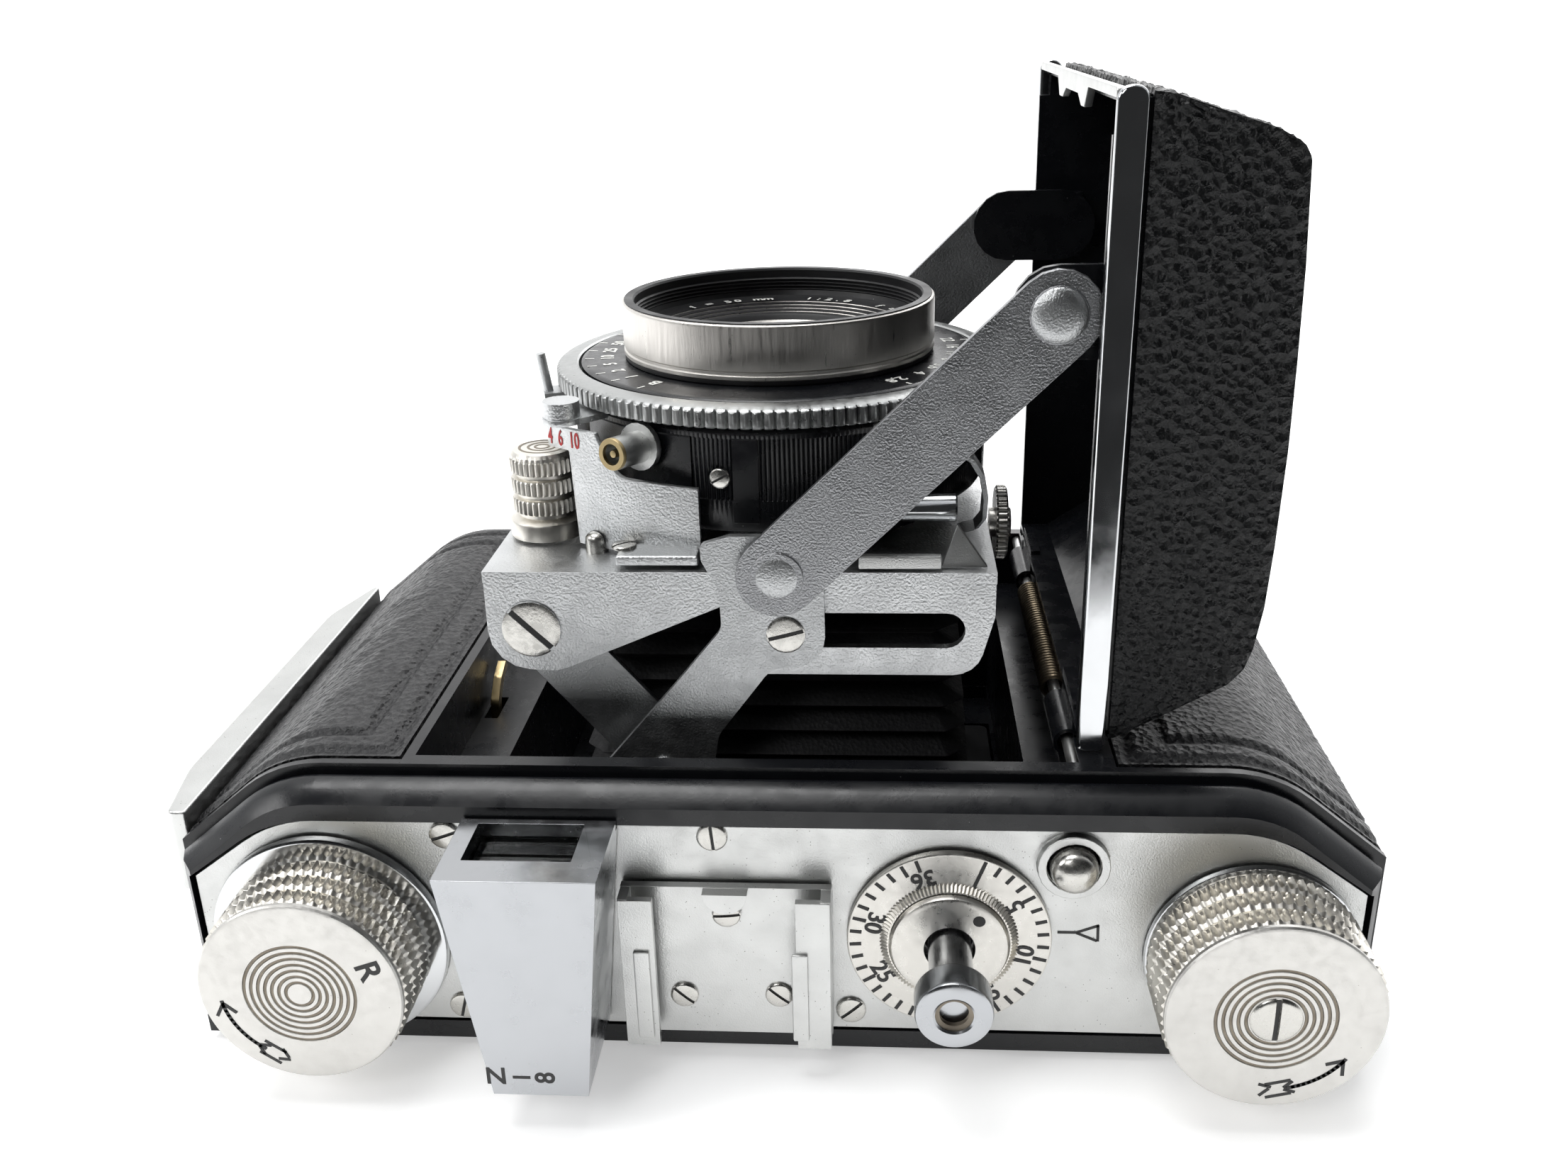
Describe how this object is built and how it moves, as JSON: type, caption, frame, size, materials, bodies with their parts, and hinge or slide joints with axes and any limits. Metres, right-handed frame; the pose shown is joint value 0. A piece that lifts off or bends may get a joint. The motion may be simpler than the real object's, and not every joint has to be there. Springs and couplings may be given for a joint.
{
  "type": "folding camera",
  "caption": "Folding 35 mm camera lying on its back: leather-covered body, side-hung front door, scissor-arm lens standard with bellows and leaf shutter, knobs, finder and accessory shoe.",
  "frame": {"origin": "on the flat outer face of the back leather, straight under the lens axis", "axes": "+Z along the lens axis, the way the lens looks; -Y towards the camera's top plate with its knobs and finder; +X towards the end with the door hinge and the wind knob"},
  "size_m": [0.1264, 0.0892, 0.093],
  "materials": {
    "black_casting": "black enamel on a die-cast alloy body, satin, worn at the ridges",
    "black_sheet": "black enamel on pressed sheet, semi-gloss",
    "leather": "black grained leather covering, embossed border lines",
    "satin_chrome": "satin chrome, finely frosted",
    "bright_chrome": "bright chrome plating",
    "blackened_metal": "blackened metal, matt",
    "turned_alloy": "turned alloy, satin chromed and knurled",
    "black_alloy": "black enamelled alloy",
    "brass": "bare brass, dulled",
    "glass": "clear optical glass",
    "bellows_leather": "black leather-cloth bellows, matt"
  },
  "bodies": {
    "camera_body": {"body_casting": "black_casting", "leather_left": "leather", "leather_right": "leather", "top_plate": "satin_chrome", "base_plate": "satin_chrome", "tripod_bush": "satin_chrome", "film_gate": "blackened_metal", "accessory_shoe": "satin_chrome", "finder_housing": "bright_chrome", "finder_front_lens": "glass", "finder_eyepiece": "glass", "door_hinge_rod": "satin_chrome", "door_spring": "brass", "back_hinge_pin": "satin_chrome", "bellows": "bellows_leather"},
    "back": {"back_cover": "black_casting", "back_leather": "leather", "pressure_plate": "blackened_metal", "pressure_spring": "satin_chrome"},
    "back_latch": {"back_latch": "bright_chrome"},
    "door": {"door_shell": "black_sheet", "door_leather": "leather", "door_strip_near": "bright_chrome", "door_strip_far": "bright_chrome", "door_catch": "bright_chrome", "door_bracket_near": "black_sheet", "door_bracket_far": "black_sheet"},
    "door_release": {"door_release_button": "bright_chrome", "door_latch_hook": "brass"},
    "struts": {"strut_near": "satin_chrome", "strut_far": "satin_chrome"},
    "slot_arms": {"slot_arm_near": "satin_chrome", "slot_arm_far": "satin_chrome"},
    "cross_arms": {"cross_arm_near": "satin_chrome", "cross_arm_far": "satin_chrome"},
    "standard": {"lens_standard": "satin_chrome", "distance_scale": "satin_chrome"},
    "focus_knob": {"focus_knob": "turned_alloy"},
    "setting_wheel": {"setting_wheel": "satin_chrome"},
    "lens_unit": {"shutter_housing": "black_alloy", "shutter_face": "blackened_metal", "lens_barrel": "bright_chrome", "front_element": "glass", "rear_cell": "black_alloy", "rear_element": "glass", "sync_socket": "satin_chrome"},
    "speed_ring": {"speed_ring": "satin_chrome"},
    "cocking_lever": {"cocking_lever": "blackened_metal"},
    "release_lever": {"release_lever": "satin_chrome"},
    "rewind": {"rewind_knob": "turned_alloy", "rewind_fork": "satin_chrome"},
    "wind": {"wind_knob": "turned_alloy", "take_up_spool": "black_alloy"},
    "sprocket": {"sprocket_roller": "black_alloy"},
    "counter": {"counter_dial": "satin_chrome", "counter_hub": "satin_chrome"},
    "release": {"release_button": "bright_chrome"},
    "film_release": {"film_release_button": "bright_chrome"},
    "parallax": {"parallax_lever": "satin_chrome"}
  },
  "joints": [
    {"name": "door_hinge", "type": "hinge", "parent": "camera_body", "child": "door", "pos_m": [0.03003, 0, 0.0304], "axis": [0, -1, 0], "range_deg": [0, 90], "stiffness_Nm_per_rad": 0.08, "springref_deg": -68.75, "deforming": ["bellows"]},
    {"name": "slot_arm_hinge", "type": "hinge", "parent": "camera_body", "child": "slot_arms", "pos_m": [-0.02358, 0, 0.0124], "axis": [0, 1, 0], "range_deg": [0, 50.7]},
    {"name": "cross_arm_hinge", "type": "hinge", "parent": "slot_arms", "child": "cross_arms", "pos_m": [-0.01083, 0, 0.02754], "axis": [0, -1, 0], "range_deg": [0, 101.4]},
    {"name": "standard_hinge", "type": "hinge", "parent": "cross_arms", "child": "standard", "pos_m": [-0.02358, 0, 0.04268], "axis": [0, 1, 0], "range_deg": [0, 50.7]},
    {"name": "strut_hinge", "type": "hinge", "parent": "door", "child": "struts", "pos_m": [0.02673, 0, 0.07393], "axis": [0, -1, 0], "range_deg": [0, 28.5]},
    {"name": "focus_turn", "type": "hinge", "parent": "standard", "child": "focus_knob", "pos_m": [-0.0236, -0.01515, 0.0488], "axis": [0, 0, 1], "range_deg": [0, 270]},
    {"name": "focus_slide", "type": "slide", "parent": "standard", "child": "lens_unit", "axis": [0, 0, 1], "range_m": [0, 0.0026]},
    {"name": "setting_turn", "type": "hinge", "parent": "standard", "child": "setting_wheel", "pos_m": [0.024, -0.008, 0.0475], "axis": [1, 0, 0], "range_deg": [-60, 60]},
    {"name": "speed_turn", "type": "hinge", "parent": "lens_unit", "child": "speed_ring", "pos_m": [0, 0, 0.063], "axis": [0, 0, 1], "range_deg": [-70, 70]},
    {"name": "cocking_swing", "type": "hinge", "parent": "lens_unit", "child": "cocking_lever", "pos_m": [0, 0, 0.0619], "axis": [0, 0, -1], "range_deg": [0, 40], "stiffness_Nm_per_rad": 0.02, "springref_deg": -5.73},
    {"name": "release_swing", "type": "hinge", "parent": "lens_unit", "child": "release_lever", "pos_m": [0, 0, 0.062], "axis": [0, 0, 1], "range_deg": [0, 6], "stiffness_Nm_per_rad": 0.02, "springref_deg": -11.46},
    {"name": "back_hinge", "type": "hinge", "parent": "camera_body", "child": "back", "pos_m": [0.061, 0, 0.002], "axis": [0, -1, 0], "range_deg": [0, 120]},
    {"name": "back_latch_slide", "type": "slide", "parent": "camera_body", "child": "back_latch", "axis": [0, 1, 0], "range_m": [0, 0.004]},
    {"name": "rewind_turn", "type": "hinge", "parent": "camera_body", "child": "rewind", "pos_m": [-0.0441, -0.037, 0.01335], "axis": [0, -1, 0], "continuous": true},
    {"name": "wind_turn", "type": "hinge", "parent": "camera_body", "child": "wind", "pos_m": [0.0471, -0.037, 0.01335], "axis": [0, -1, 0], "continuous": true},
    {"name": "sprocket_turn", "type": "hinge", "parent": "camera_body", "child": "sprocket", "pos_m": [0.0344, 0, 0.012], "axis": [0, -1, 0], "continuous": true},
    {"name": "counter_turn", "type": "hinge", "parent": "camera_body", "child": "counter", "pos_m": [0.0179, -0.037, 0.0148], "axis": [0, -1, 0], "continuous": true},
    {"name": "release_press", "type": "slide", "parent": "camera_body", "child": "release", "axis": [0, 1, 0], "range_m": [0, 0.0012], "stiffness_N_per_m": 600, "springref_m": -0.0008},
    {"name": "film_release_press", "type": "slide", "parent": "camera_body", "child": "film_release", "axis": [0, 1, 0], "range_m": [0, 0.0008], "stiffness_N_per_m": 600, "springref_m": -0.0008},
    {"name": "door_release_press", "type": "slide", "parent": "camera_body", "child": "door_release", "axis": [0, -1, 0], "range_m": [0, 0.0012], "stiffness_N_per_m": 800, "springref_m": -0.0008},
    {"name": "parallax_slide", "type": "slide", "parent": "camera_body", "child": "parallax", "axis": [-1, 0, 0], "range_m": [0, 0.0036]}
  ],
  "couplings": [
    {"joint": "slot_arm_hinge", "follows": "door_hinge", "ratio": 0.5627},
    {"joint": "cross_arm_hinge", "follows": "door_hinge", "ratio": 1.1254},
    {"joint": "standard_hinge", "follows": "door_hinge", "ratio": 0.5627},
    {"joint": "strut_hinge", "follows": "door_hinge", "ratio": 0.3155},
    {"joint": "focus_turn", "follows": "focus_slide", "rad_per_m": 1812.4},
    {"joint": "sprocket_turn", "follows": "wind_turn", "ratio": 1.17},
    {"joint": "counter_turn", "follows": "wind_turn", "ratio": 0.0228}
  ]
}
